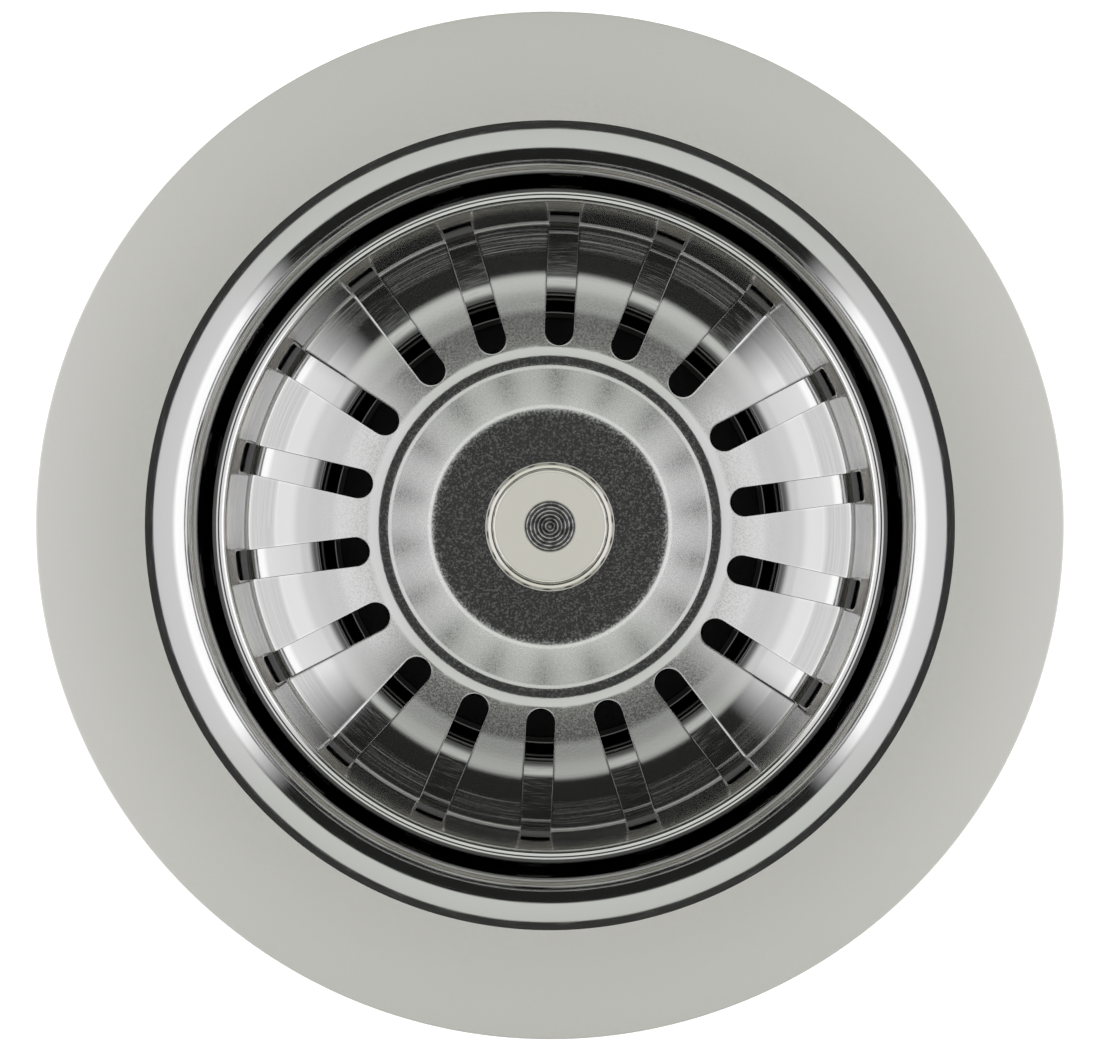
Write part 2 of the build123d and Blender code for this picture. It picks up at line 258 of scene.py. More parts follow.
def kidney(angle):
    """A cutter for one outlet: a slot that is bent round the axis and has round tips."""
    half, outer, inner = OUTLET_HALF, OUTLET_CIRCLE + OUTLET_ROUND, OUTLET_CIRCLE - OUTLET_ROUND
    x, y = OUTLET_CIRCLE * math.cos(half), OUTLET_CIRCLE * math.sin(half)
    sides, tips = range(SIDE_STEPS + 1), range(1, TIP_STEPS)
    points = arc(0, 0, outer, -half, 2 * half, sides, SIDE_STEPS)
    points += arc(x, y, OUTLET_ROUND, half, math.pi, tips, TIP_STEPS)
    points += arc(0, 0, inner, half, -2 * half, sides, SIDE_STEPS)
    points += arc(x, -y, OUTLET_ROUND, math.pi - half, math.pi, tips, TIP_STEPS)
    clear()
    bpy.ops.mesh.primitive_circle_add(vertices=len(points), radius=MM)
    cutter = bpy.context.object
    for vert, (x, y) in zip(cutter.data.vertices, points):
        turned_x = x * math.cos(angle) - y * math.sin(angle)
        turned_y = x * math.sin(angle) + y * math.cos(angle)
        vert.co = (turned_x * MM, turned_y * MM, (FLOOR - CUTTER_HEIGHT / 2) * MM)
    bpy.ops.object.mode_set(mode="EDIT")
    bpy.ops.mesh.select_all(action="SELECT")
    bpy.ops.mesh.edge_face_add()
    move = {"value": (0, 0, CUTTER_HEIGHT * MM)}
    bpy.ops.mesh.extrude_region_move(TRANSFORM_OT_translate=move)
    close_up()
    return cutter


cut(bowl, join([kidney(math.radians(90 * k)) for k in range(OUTLETS)]))
smooth(bowl)
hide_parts("flange_bowl")
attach(bowl, "waste")
print("bowl faces", len(bowl.data.polygons))

# %% [markdown]
# ## The slotted basket
# The basket is the piece that everybody looks at: a mirror with eighteen slots in it, which
# run from the groove up the cone and on into the wall. A boolean cut would do for a dull
# piece, but it leaves slivers beside the slots, and a mirror shows every one. So one panel
# of twenty degrees is laid out flat first and then wrapped onto the pressed line. The line
# comes first: rim, wall, cone, skirt, groove and raised middle.

# %% Lay out the basket's pressed line
PLATEAU = 48.9
GROOVE = 46.3
CONE_FOOT = 49.0
CONE_TOP = 54.5
RIM, RIM_RADIUS = 65.5, 37.9
basket_line = rounded([
    (RIM_RADIUS, RIM - 2.0, 0),
    (RIM_RADIUS, RIM, 0.8),
    (36.45, RIM, 0.75),
    (35.55, 60.6, 1.9),
    (34.5, CONE_TOP, 1.0),
    (29.05, 51.3, 20.0),
    (24.75, CONE_FOOT, 4.1),
    (20.18, GROOVE, 2.7),
    (18.4, GROOVE, 1.3),
    (13.8, PLATEAU, 1.3),
    (3.1, PLATEAU, 0),
], degrees=1.0)
run = [0.0]
for (r0, z0), (r1, z1) in zip(basket_line, basket_line[1:]):
    run.append(run[-1] + math.hypot(r1 - r0, z1 - z0))
print("basket line", round(run[-1], 2))

# %% [markdown]
# ## Places along the line
# A flat panel has two directions: the distance along the line and the angle round the axis.
# The slot's ends are known as a radius on the cone and a height on the wall, so both are
# looked up as distances, and one more helper gives back the place in space.

# %% Find places along the line
CONE_REACH, WALL_REACH = 34.2, 36.4


def on_line(s):
    """The (radius, height) at a distance s along the pressed line."""
    for i in range(1, len(run)):
        if s <= run[i] or i == len(run) - 1:
            span = run[i] - run[i - 1]
            t = 0.0 if span < TINY else (s - run[i - 1]) / span
            (r0, z0), (r1, z1) = basket_line[i - 1], basket_line[i]
            return r0 + (r1 - r0) * t, z0 + (z1 - z0) * t


def along(radius):
    """The distance along the line at a radius on the cone or the skirt below it."""
    for i in range(1, len(run)):
        (r0, z0), (r1, z1) = basket_line[i - 1], basket_line[i]
        if r1 <= radius < r0 < CONE_REACH:
            return run[i - 1] + (run[i] - run[i - 1]) * (r0 - radius) / (r0 - r1)


def down(height):
    """The distance along the line at a height on the wall."""
    for i in range(1, len(run)):
        (r0, z0), (r1, z1) = basket_line[i - 1], basket_line[i]
        if r0 < WALL_REACH and z1 <= height <= z0:
            return run[i - 1] + (run[i] - run[i - 1]) * (z0 - height) / (z0 - z1)


SLOT_INNER, SLOT_TOP = 20.88, 60.7
print("slot from", round(down(SLOT_TOP), 2), "to", round(along(SLOT_INNER), 2))

# %% [markdown]
# ## Rows that follow the bend
# A mirror shows each face that is too long on a bend, and faces that are too short
# everywhere make the file heavy. So the rows lie close together where the line bends and
# further apart where it is nearly straight.

# %% Set stations along the line
CLEARANCE = 0.05


def stations(low, high, longest, degrees=5.0):
    """Distances from low to high, close together where the line bends."""
    marks, at = [low], 0.0
    for i in range(1, len(run) - 1):
        (r0, z0), (r1, z1), (r2, z2) = basket_line[i - 1:i + 2]
        bend = math.atan2(z2 - z1, r2 - r1) - math.atan2(z1 - z0, r1 - r0)
        at += abs(math.degrees((bend + math.pi) % (2 * math.pi) - math.pi))
        inside = low + CLEARANCE < run[i] < high - CLEARANCE
        if inside and (at >= degrees or run[i] - marks[-1] > longest):
            marks.append(run[i])
            at = 0.0
    marks.append(high)
    filled = [low]
    for mark in marks[1:]:
        pieces = math.ceil((mark - filled[-1]) / longest)
        start = filled[-1]
        filled += [start + (mark - start) * k / pieces for k in range(1, pieces + 1)]
    return filled


print("stations on the whole line", len(stations(0.0, run[-1], 1.2)))

# %% [markdown]
# ## Rings round one slot
# Faces that run round a hole in rings keep its edge clean. The slot's edge is drawn once
# round, and every point of it gets a partner on the panel's border. The inner end is a half
# circle; the upper end is squarer, with two small rounds, as the punch leaves it.

# %% Draw the two ends of a slot
SLOTS = 18
SLOT_WIDTH = 3.3
ROUND = SLOT_WIDTH / 2
CORNER = 0.9
MARGIN = 0.8
END_STEPS = 24
QUARTER = END_STEPS // 4
half_panel = math.pi / SLOTS
panel_top, panel_end = down(SLOT_TOP) - MARGIN, along(SLOT_INNER) + MARGIN
slot_high = down(SLOT_TOP) + CORNER
slot_low = along(math.hypot(SLOT_INNER + ROUND, ROUND))


def beside(s, offset):
    """A distance along the line, and the angle of a point that far beside the slot's middle."""
    return s, math.asin(offset / on_line(s)[0])


def inner_end():
    """The round inner end, with partners on the border below it."""
    pairs = []
    for k in range(END_STEPS):
        a = math.pi * k / END_STEPS
        x, y = SLOT_INNER + ROUND - ROUND * math.sin(a), ROUND * math.cos(a)
        border = (slot_low + (panel_end - slot_low) * k / QUARTER, half_panel)
        if QUARTER < k <= 3 * QUARTER:
            border = (panel_end, half_panel * (1 - (k - QUARTER) / QUARTER))
        elif k > 3 * QUARTER:
            rise = (slot_low - panel_end) * (k - 3 * QUARTER) / QUARTER
            border = (panel_end + rise, -half_panel)
        pairs.append(((along(math.hypot(x, y)), math.atan2(y, x)), border))
    return pairs


def upper_end():
    """The squarer upper end, with partners on the border above it."""
    pairs = []
    flat = ROUND - CORNER
    for k in range(END_STEPS):
        if k <= QUARTER:
            a = math.pi / 2 * k / QUARTER
            edge = beside(slot_high - CORNER * math.sin(a), -flat - CORNER * math.cos(a))
            border = (slot_high + (panel_top - slot_high) * k / QUARTER, -half_panel)
        elif k < 3 * QUARTER:
            share = (k - QUARTER) / (2 * QUARTER)
            edge = beside(slot_high - CORNER, -flat + 2 * flat * share)
            border = (panel_top, -half_panel + 2 * half_panel * share)
        else:
            a = math.pi / 2 * (1 - (k - 3 * QUARTER) / QUARTER)
            edge = beside(slot_high - CORNER * math.sin(a), flat + CORNER * math.cos(a))
            fall = (slot_high - panel_top) * (k - 3 * QUARTER) / QUARTER
            border = (panel_top + fall, half_panel)
        pairs.append((edge, border))
    return pairs


print("slot points at the ends", len(inner_end()), len(upper_end()))

# %% [markdown]
# ## From the slot's edge to the panel's border
# Two sides and two ends make the edge. The rings between the edge and the border lie closer
# together near the slot, where the bevel of the punched edge will need room.

# %% Lay the rings round one slot
SIDE_STEP, SIDE_BEND = 0.45, 4.0
RING_SHARES = (0.0, 0.1, 0.24, 0.44, 0.7, 1.0)
side = stations(slot_high, slot_low, SIDE_STEP, SIDE_BEND)
slot_edge = [(beside(s, ROUND), (s, half_panel)) for s in side[:-1]] + inner_end()
slot_edge += [(beside(s, -ROUND), (s, -half_panel)) for s in side[:0:-1]] + upper_end()


def between(a, b, share):
    """The point at a share of the way from a to b."""
    return a[0] + (b[0] - a[0]) * share, a[1] + (b[1] - a[1]) * share


rings = [[between(a, b, share) for a, b in slot_edge] for share in RING_SHARES]
print("rings", len(rings), "points in a ring", len(rings[0]))

# %% [markdown]
# ## Wrapping the panels
# Each panel is laid on the line and turned to its place; an Array about the axis could do
# that too, but here the neighbours have to share their border points, so all eighteen go
# into one mesh and the doubles are merged. Plain strips fill the sheet above and below.

# %% Wrap the panels onto the line
SLOT_TURN = math.radians(87.3)
STRIP_STEP = 1.2


def add_panel(mesh, turn):
    """One panel: the rings round its slot, and plain strips above and below them."""
    def point(s, angle):
        r, z = on_line(s)
        x, y = r * math.cos(turn + angle) * MM, r * math.sin(turn + angle) * MM
        return mesh.verts.new((x, y, z * MM))

    grid = [[point(*p) for p in ring] for ring in rings]
    count = len(rings[0])
    for a, b in zip(grid, grid[1:]):
        for k in range(count):
            mesh.faces.new((a[k], a[(k + 1) % count], b[(k + 1) % count], b[k]))
    across = END_STEPS // 2
    angles = [-half_panel + 2 * half_panel * k / across for k in range(across + 1)]
    for low, high in ((0.0, panel_top), (panel_end, run[-1])):
        rows = [[point(s, angle) for angle in angles] for s in stations(low, high, STRIP_STEP)]
        for a, b in zip(rows, rows[1:]):
            for k in range(across):
                mesh.faces.new((a[k], a[k + 1], b[k + 1], b[k]))


sheet = bpy.data.meshes.new("slotted_basket")
basket = bpy.data.objects.new("slotted_basket", sheet)
bpy.context.scene.collection.objects.link(basket)
panels = bmesh.new()
for j in range(SLOTS):
    add_panel(panels, SLOT_TURN + 2 * math.pi * j / SLOTS)
bmesh.ops.remove_doubles(panels, verts=panels.verts, dist=0.001 * MM)
bmesh.ops.recalc_face_normals(panels, faces=panels.faces)
innermost = min(panels.faces, key=lambda f: f.calc_center_median().xy.length)
if innermost.normal.z < 0:
    bmesh.ops.reverse_faces(panels, faces=panels.faces)
panels.to_mesh(sheet)
panels.free()
print("basket sheet faces", len(sheet.polygons))

# %% [markdown]
# ## Sheet and punched edges
# Solidify gives the sheet its thickness below the polished face, and Bevel rounds the
# punched edges, which catch thin lines of light. Both are modifiers on the finished
# surface, so that every slot gets the same edge.

# %% Give the basket its thickness and round its edges
BASKET_SHEET, PUNCH_ROUND = 0.6, 0.11
solidify = basket.modifiers.new("sheet", "SOLIDIFY")
solidify.thickness = BASKET_SHEET * MM
solidify.offset = -1
solidify.use_even_offset = True
edge_round = basket.modifiers.new("punched edges", "BEVEL")
edge_round.width = PUNCH_ROUND * MM
edge_round.segments = 3
edge_round.limit_method = "ANGLE"
edge_round.angle_limit = math.radians(50)
apply_all(basket)
smooth(basket, 40)
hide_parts("strainer_basket")
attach(basket, "basket")
print("basket faces", len(basket.data.polygons))

# %% [markdown]
# ## The knob
# The knob is turned from bar: a foot, a waist and a flat head with a shallow cone sunk in
# its middle. Fingers lift the basket by the head. A lathe follows a profile, and so does Spin,
# with a small round at every corner that the tool would break.

# %% Spin the knob
KNOB_TOP = 54.4
knob = spun("turned_knob", rounded([
    (0, KNOB_TOP - 0.9, 0),
    (3.0, KNOB_TOP, 0.05),
    (6.55, KNOB_TOP, 0.35),
    (6.55, KNOB_TOP - 3.0, 0.3),
    (4.9, KNOB_TOP - 3.0, 0.3),
    (4.9, PLATEAU + 1.0, 0.4),
    (7.4, PLATEAU + 1.0, 0.7),
    (7.4, PLATEAU, 0.05),
    (3.05, PLATEAU, 0),
    (3.05, PLATEAU + 3.6, 0),
    (0, PLATEAU + 3.6, 0),
], degrees=10.0), steps=128)
smooth(knob, 30)
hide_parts("knob")
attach(knob, "basket")
print("knob faces", len(knob.data.polygons))

# %% [markdown]
# ## The rubber seal
# The seal closes the sump when the basket is down. It is one moulding, a hub on the stem and
# a skirt down to its lip, and its mould was turned, so it can be spun like the steel.

# %% Spin the seal
seal = spun("rubber_seal", rounded([
    (3.1, 45.8, 0),
    (11.6, 45.8, 0.3),
    (21.5, 39.0, 0.3),
    (24.4, 39.0, 0.5),
    (24.4, 40.7, 0.8),
    (12.6, 48.3, 0.8),
    (3.1, 48.3, 0),
], degrees=10.0), steps=160)
smooth(seal, 30)
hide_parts("basket_seal")
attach(seal, "basket")
print("seal faces", len(seal.data.polygons))

# %% [markdown]
# ## The small turned pieces and the gaskets
# The gaskets, the central screw with its washer and insert, the stem, its washer and its
# spring ring have the right shape already. Modelling them again would add nothing, so a
# merged copy of each is shaded smooth, and its round sides don't show flat facets.

# %% Make smooth copies of the pieces that keep their shape
def merged_copy(node, name):
    """A copy of a CAD node with its doubled points merged."""
    clear()
    copy = bpy.data.objects.new(name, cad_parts[node].data.copy())
    bpy.context.scene.collection.objects.link(copy)
    copy.data.materials.clear()
    bpy.context.view_layer.objects.active = copy
    copy.select_set(True)
    bpy.ops.object.mode_set(mode="EDIT")
    bpy.ops.mesh.select_all(action="SELECT")
    bpy.ops.mesh.remove_doubles(threshold=MERGE_WITHIN)
    bpy.ops.object.mode_set(mode="OBJECT")
    return copy


def smooth_copy(node, name, body, degrees=30):
    """A merged copy of a CAD node, shaded smooth, that stands for the node."""
    copy = merged_copy(node, name)
    smooth(copy, degrees)
    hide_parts(node)
    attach(copy, body)
    return copy


rim_ring = smooth_copy("rim_gasket", "upper_gasket", "waste")
body_ring = smooth_copy("body_gasket", "lower_gasket", "waste")
screw = smooth_copy("fixing_screw", "slotted_screw", "waste")
washer = smooth_copy("screw_washer", "flat_washer", "waste")
insert = smooth_copy("insert_nut", "brass_insert", "waste")
ring = smooth_copy("catch_ring", "split_ring", "catch")
stem = smooth_copy("stem", "turned_stem", "basket")
retainer = smooth_copy("seal_retainer", "seal_washer", "basket")
for piece in (rim_ring, body_ring, screw, washer, insert, ring, stem, retainer):
    print(piece.name, "faces", len(piece.data.polygons))

# %% [markdown]
# ## The moulded body
# Flange, cup, funnel, collar and outlet are one moulding. Its wall has an even thickness, so
# that it cools without sinking in; only the inside is drawn as corners, and the outside is
# the same line moved out. The outline is closed over the outlet's foot, the collar that a
# trap's nut comes up to, and the flange with its small lip round the gasket.

# %% Spin the body
BODY_TOP, BODY_UNDER, COLLAR_TOP = 64.3, 61.3, 26.0
BODY_WALL = 3.0
THREAD_ROOT = 22.42
inside = rounded([
    (41.8, BODY_TOP, 0),
    (41.2, 42.0, 8.0),
    (20.0, 29.0, 6.0),
    (20.0, 0.0, 0),
], degrees=5.0)
outlet_and_collar = [
    (22.0, 0.0), (THREAD_ROOT, 0.42), (THREAD_ROOT, 22.0), (26.7, 22.0), (27.0, 22.3),
    (27.0, COLLAR_TOP - 0.3), (26.7, COLLAR_TOP), (23.0, COLLAR_TOP),
]
moved_out = thickened(inside, BODY_WALL)[len(inside):]
outside_wall = [(r, z) for r, z in moved_out if COLLAR_TOP < z < BODY_UNDER]
flange_and_lip = [
    (44.72, BODY_UNDER), (53.2, BODY_UNDER), (54.0, BODY_UNDER + 0.8), (54.0, BODY_TOP + 1.0),
    (53.8, BODY_TOP + 1.2), (53.0, BODY_TOP + 1.2), (52.8, BODY_TOP + 1.0), (52.8, BODY_TOP),
]
body = spun("moulded_body", inside + outlet_and_collar + outside_wall + flange_and_lip)
print("spun body faces", len(body.data.polygons))

# %% [markdown]
# ## The outlet's thread
# A trap's nut screws onto a 1 1/2 inch pipe thread: a ridge that climbs 2.309 mm in a turn.
# Rings stacked on each other would look alike from afar, but a thread is one winding, and
# the Screw modifier makes it from the ridge's outline. Both ends of the ridge run out on a
# cone, as a die leaves them, so every point that stands further out is drawn in.

# %% Wind the thread round the outlet
THREAD_PITCH, THREAD_LOW, THREAD_TURNS = 2.309, 1.0, 6
RIDGE_SUNK = 0.2
ridge_outline = [
    (-RIDGE_SUNK, 0.0), (1.2, 0.7), (1.46, 0.88), (1.46, 1.12), (1.2, 1.3), (-RIDGE_SUNK, 2.0),
]
clear()
bpy.ops.mesh.primitive_circle_add(vertices=len(ridge_outline), radius=MM)
ridge = bpy.context.object
for vert, (out, up) in zip(ridge.data.vertices, ridge_outline):
    vert.co = ((THREAD_ROOT + out) * MM, 0.0, (THREAD_LOW + up) * MM)
winding = ridge.modifiers.new("winding", "SCREW")
winding.steps = winding.render_steps = 96
winding.iterations = THREAD_TURNS
winding.screw_offset = THREAD_PITCH * MM
apply_all(ridge)
thread_high = max(v.co.z for v in ridge.data.vertices) / MM
for vert in ridge.data.vertices:
    height = vert.co.z / MM
    most = THREAD_ROOT - RIDGE_SUNK + min(height - THREAD_LOW, thread_high - height)
    share = min(1.0, most * MM / vert.co.xy.length)
    vert.co.x, vert.co.y = vert.co.x * share, vert.co.y * share
bpy.ops.object.mode_set(mode="EDIT")
bpy.ops.mesh.select_all(action="SELECT")
bpy.ops.mesh.fill_holes(sides=8)
close_up()
print("thread from", THREAD_LOW, "to", round(thread_high, 1))

# %% [markdown]
# ## One moulding again
# The hub in the middle, with the arms that carry it, keeps the solid's shape. Wall, hub and
# thread could be welded by a boolean union, but they meet in corners where nobody looks, so
# joining them is enough, and the round walls keep their even faces.

# %% Join the body into one piece
body = join([body, merged_copy("body_hub", "hub"), ridge])
smooth(body, 30)
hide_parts("waste_body", "body_hub", "outlet_tail")
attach(body, "waste")
print("body faces", len(body.data.polygons))

# %% [markdown]
# ## Tools for a finish
# A finish could be painted on a picture that is laid round the piece. Here each one is
# worked out from the piece's own coordinates instead: nothing has to be unwrapped, it is
# sharp at any distance, and it stays with the piece when the piece moves. These helpers add
# one node each, so that a finish reads from top to bottom.

# %% Small tools for adding nodes
def new_finish(name, colour, metallic, roughness):
    """A material, with its node tree and its shader."""
    material = bpy.data.materials.new(name)
    material.use_nodes = True
    tree = material.node_tree
    shader = tree.nodes["Principled BSDF"]
    shader.inputs["Base Color"].default_value = (*colour, 1)
    shader.inputs["Metallic"].default_value = metallic
    shader.inputs["Roughness"].default_value = roughness
    return material, tree, shader


def node(tree, kind, inputs=None, **settings):
    """Adds a node, sets its fields, and links or sets its inputs."""
    made = tree.nodes.new(kind)
    for key, value in settings.items():
        setattr(made, key, value)
    for key, value in (inputs or {}).items():
        if isinstance(value, bpy.types.NodeSocket):
            tree.links.new(value, made.inputs[key])
        else:
            made.inputs[key].default_value = value
    return made


def calc(tree, operation, *values):
    """A Math node on sockets or numbers."""
    return node(tree, "ShaderNodeMath", dict(enumerate(values)), operation=operation).outputs[0]


def blend(tree, share, one, two):
    """A value that goes from one to two as the share goes from 0 to 1."""
    return node(tree, "ShaderNodeMix", {0: share, 2: one, 3: two}).outputs[0]


def blend_colours(tree, share, one, two, way="MIX"):
    """A colour that goes from one to two as the share goes from 0 to 1."""
    inputs = {0: share, 6: one, 7: two}
    return node(tree, "ShaderNodeMix", inputs, data_type="RGBA", blend_type=way).outputs[2]


def ramp(tree, socket, stops):
    """A colour ramp with (position, grey) stops."""
    made = node(tree, "ShaderNodeValToRGB", {0: socket})
    elements = made.color_ramp.elements
    while len(elements) < len(stops):
        elements.new(0.5)
    for element, (position, grey) in zip(elements, stops):
        element.position = position
        element.color = (grey, grey, grey, 1)
    return made.outputs[0]


def noise(tree, place, scale, detail):
    """Soft grain; the scale is the number of grains in a metre."""
    inputs = {"Vector": place, "Scale": scale, "Detail": detail}
    return node(tree, "ShaderNodeTexNoise", inputs).outputs[0]


def bump(tree, shader, height, depth, strength):
    """Lets a height tilt the shading; the depth is in millimetres."""
    inputs = {"Height": height, "Distance": depth * MM, "Strength": strength}
    tree.links.new(node(tree, "ShaderNodeBump", inputs).outputs[0], shader.inputs["Normal"])


# %% [markdown]
# ## Finishes that go round
# Lathes, presses and polishing mops all work round the axis, and so do the marks they leave.
# The helpers give the distance from the axis and the angle, look a value up by distance, and
# draw noise out along circles.

# %% Small tools for finishes round the axis
RAMP_REACH = 60


def polar(tree):
    """Sockets for the place, the distance from the axis, the angle and the height, in metres."""
    place = node(tree, "ShaderNodeTexCoord").outputs["Object"]
    x, y, z = node(tree, "ShaderNodeSeparateXYZ", {0: place}).outputs
    squares = calc(tree, "MULTIPLY_ADD", y, y, calc(tree, "MULTIPLY", x, x))
    return place, calc(tree, "SQRT", squares), calc(tree, "ARCTAN2", y, x), z


def by_radius(tree, radius, stops):
    """A value that depends on the distance from the axis; the stops are in millimetres."""
    share = calc(tree, "MULTIPLY", radius, 1 / (RAMP_REACH * MM))
    return ramp(tree, share, [(r / RAMP_REACH, value) for r, value in stops])


def round_marks(tree, radius, angle, height, across, along, detail=3.0):
    """Noise drawn out along the circles that a lathe or polishing mop leaves: so many marks
    across in a metre, and so many along in a radian."""
    vector = node(tree, "ShaderNodeCombineXYZ", {
        0: calc(tree, "MULTIPLY", radius, across),
        1: calc(tree, "MULTIPLY", angle, along),
        2: calc(tree, "MULTIPLY", height, across),
    }).outputs[0]
    return noise(tree, vector, scale=1.0, detail=detail)


# %% [markdown]
# ## The bowl's two finishes
# The flange has a fine satin that hides scratches, and it ends in a sharp circle at the
# polished shoulder. Two materials would need an edge loop just there; one material that
# asks for the distance from the axis draws the circle exactly. The steep wall beside the
# basket and the edge of the sump sit in deep shade, and that shade is painted into the
# steel's colour: by the same distance they get dark rings of painted shade.

# %% Polished and satin steel of the bowl, with painted shade in its deep rings
POLISHED_RADIUS = 44.87
bowl_finish, tree, shader = new_finish("bowl steel", (0.72, 0.715, 0.70), 1.0, 0.1)
place, radius, angle, height = polar(tree)
on_flange = calc(tree, "GREATER_THAN", radius, POLISHED_RADIUS * MM)
hair = round_marks(tree, radius, angle, height, across=9000, along=14)
fine = noise(tree, place, scale=5200.0, detail=2.0)
satin_rough = ramp(tree, fine, [(0.3, 0.40), (0.7, 0.52)])
polish_rough = ramp(tree, hair, [(0.45, 0.055), (0.75, 0.16)])
rough = blend(tree, on_flange, polish_rough, satin_rough)
tree.links.new(rough, shader.inputs["Roughness"])
# Painted shade: the steel's colour drops to near black on the sump's edge and on the steep wall
# beside the basket, where the deep gap lies in shade.
tone = by_radius(tree, radius, [
    (24.2, 0.72), (24.4, 0.12), (27.3, 0.12), (27.8, 0.66), (33.7, 0.66), (34.1, 0.11),
    (38.8, 0.11), (39.3, 0.14), (39.7, 0.68),
])
satin_tone = (0.75, 0.74, 0.715, 1)
tint = blend_colours(tree, on_flange, tone, satin_tone)
tree.links.new(tint, shader.inputs["Base Color"])
grain = blend(tree, on_flange, hair, fine)
bump(tree, shader, grain, depth=0.02, strength=blend(tree, on_flange, 0.02, 0.25))
bowl.data.materials.clear()
bowl.data.materials.append(bowl_finish)
print(bowl_finish.name, "nodes", len(tree.nodes))

# %% [markdown]
# ## The basket's polish
# The basket is polished after pressing, but a mop doesn't reach everywhere. The raised
# middle and the skirt keep a fine speck, the cone is a clear mirror, and near its edge the
# press has drawn the sheet out in fine lines. Each stop in the tables is a radius in
# millimetres, from the middle outwards, so a value can be read off beside the drawing.

# %% Roughness and tone of the basket
basket_finish, tree, shader = new_finish("basket steel", (0.74, 0.74, 0.735), 1.0, 0.08)
place, radius, angle, height = polar(tree)
hair = round_marks(tree, radius, angle, height, across=9000, along=6)
speck = noise(tree, place, scale=4200.0, detail=2.0)
rough = by_radius(tree, radius, [
    (13.2, 0.13), (13.8, 0.30), (18.2, 0.30), (18.6, 0.12), (20.6, 0.10), (21.0, 0.27),
    (26.0, 0.22), (27.5, 0.07), (31.2, 0.06), (31.5, 0.11), (33.9, 0.09), (36.2, 0.09),
    (36.6, 0.09),
])
tone = by_radius(tree, radius, [
    (13.4, 0.68), (13.9, 0.96), (18.0, 0.96), (18.5, 0.72), (20.7, 0.74), (21.0, 0.60),
    (26.5, 0.62), (28.0, 0.70), (31.2, 0.70), (31.6, 0.56), (33.8, 0.58), (34.4, 0.62),
    (35.4, 0.64), (35.8, 0.92), (37.0, 0.78),
])
tree.links.new(tone, shader.inputs["Base Color"])
even = ramp(tree, speck, [(0.35, 0.85), (0.65, 1.2)])
dotted = calc(tree, "MULTIPLY", ramp(tree, speck, [(0.46, 0.45), (0.62, 1.0)]), 1.5)
in_middle = by_radius(tree, radius, [
    (13.4, 0.8), (13.9, 0.1), (18.2, 0.1), (18.6, 0.8), (19.6, 0.8), (20.0, 0.1),
    (21.0, 0.3), (26.0, 0.2), (27.5, 0.0),
])
uneven = calc(tree, "MULTIPLY", rough, blend(tree, in_middle, even, dotted))
tree.links.new(uneven, shader.inputs["Roughness"])
print(basket_finish.name, "nodes so far", len(tree.nodes))

# %% [markdown]
# ## The basket's fine marks
# Specks, hairlines and draw lines are far too fine to model, but polished steel shows them
# as a broken edge of every reflection. A bump tilts the shading by their heights, and each
# kind has its own table that says on which rings it lies.

# %% Marks in the basket's steel
speck_share = by_radius(tree, radius, [
    (13.0, 0.45), (13.6, 0.06), (18.2, 0.06), (18.6, 0.45), (19.6, 0.45), (20.0, 0.12),
    (26.0, 0.20), (27.5, 0.03), (36.6, 0.03),
])
hair_share = by_radius(tree, radius, [
    (13.0, 0.02), (31.2, 0.02), (31.5, 0.16), (33.8, 0.16), (34.4, 0.06), (36.2, 0.06),
    (36.6, 0.02),
])
draw = round_marks(tree, radius, angle, height, across=2600, along=1.5, detail=1.0)
draw_share = by_radius(tree, radius, [
    (31.2, 0.0), (31.5, 0.5), (33.8, 0.5), (34.3, 0.08), (36.3, 0.08), (36.6, 0.0),
])
specks = calc(tree, "MULTIPLY", speck, speck_share)
hairs = calc(tree, "MULTIPLY", hair, hair_share)
draws = calc(tree, "MULTIPLY", draw, draw_share)
grain = calc(tree, "ADD", calc(tree, "ADD", specks, hairs), draws)
bump(tree, shader, grain, depth=0.02, strength=0.8)
basket.data.materials.append(basket_finish)
print(basket_finish.name, "nodes", len(tree.nodes))

# %% [markdown]
# ## The knob's turned face
# The knob isn't polished. Its top is a flat, pale, faced surface, and the small cone in the
# middle keeps the rings that the tool's tip has left, worn unevenly. A sine of the distance
# from the axis draws the rings, and a slow noise wears them.

# %% Turned steel of the knob
RING_PITCH, CONE_RADIUS = 0.42, 2.9
knob_finish, tree, shader = new_finish("knob steel", (0.75, 0.73, 0.68), 1.0, 0.3)
place, radius = polar(tree)[:2]
speck = noise(tree, place, scale=5200.0, detail=2.0)
worn = noise(tree, place, scale=1400.0, detail=3.0)
turning = calc(tree, "MULTIPLY", radius, 2 * math.pi / (RING_PITCH * MM))
turning = calc(tree, "SINE", turning)
in_cone = by_radius(tree, radius, [(CONE_RADIUS, 1.0), (3.0, 0.0)])
rough = by_radius(tree, radius, [(CONE_RADIUS, 0.24), (3.0, 0.46), (6.1, 0.46), (6.25, 0.12)])
tree.links.new(rough, shader.inputs["Roughness"])
wear = ramp(tree, worn, [(0.35, 0.3), (0.6, 1.0)])
tone = calc(tree, "MULTIPLY", ramp(tree, turning, [(0.2, 0.10), (0.9, 0.62)]), wear)
flat_tone = (0.89, 0.865, 0.80, 1)
tint = blend_colours(tree, in_cone, flat_tone, tone)
tree.links.new(tint, shader.inputs["Base Color"])
turned = calc(tree, "MULTIPLY", calc(tree, "MULTIPLY", turning, worn), in_cone)
grain = calc(tree, "ADD", turned, calc(tree, "MULTIPLY", speck, 0.15))
bump(tree, shader, grain, depth=0.03, strength=0.5)
knob.data.materials.append(knob_finish)
print(knob_finish.name, "nodes", len(tree.nodes))

# %% [markdown]
# ## Plain steel and brass
# The screw, the stem, the washers and the spring ring are turned or rolled and left as the
# machine leaves them, and so is the brass insert. One function makes both metals: the marks
# round the axis change how rough the metal is and tilt its shading a little.

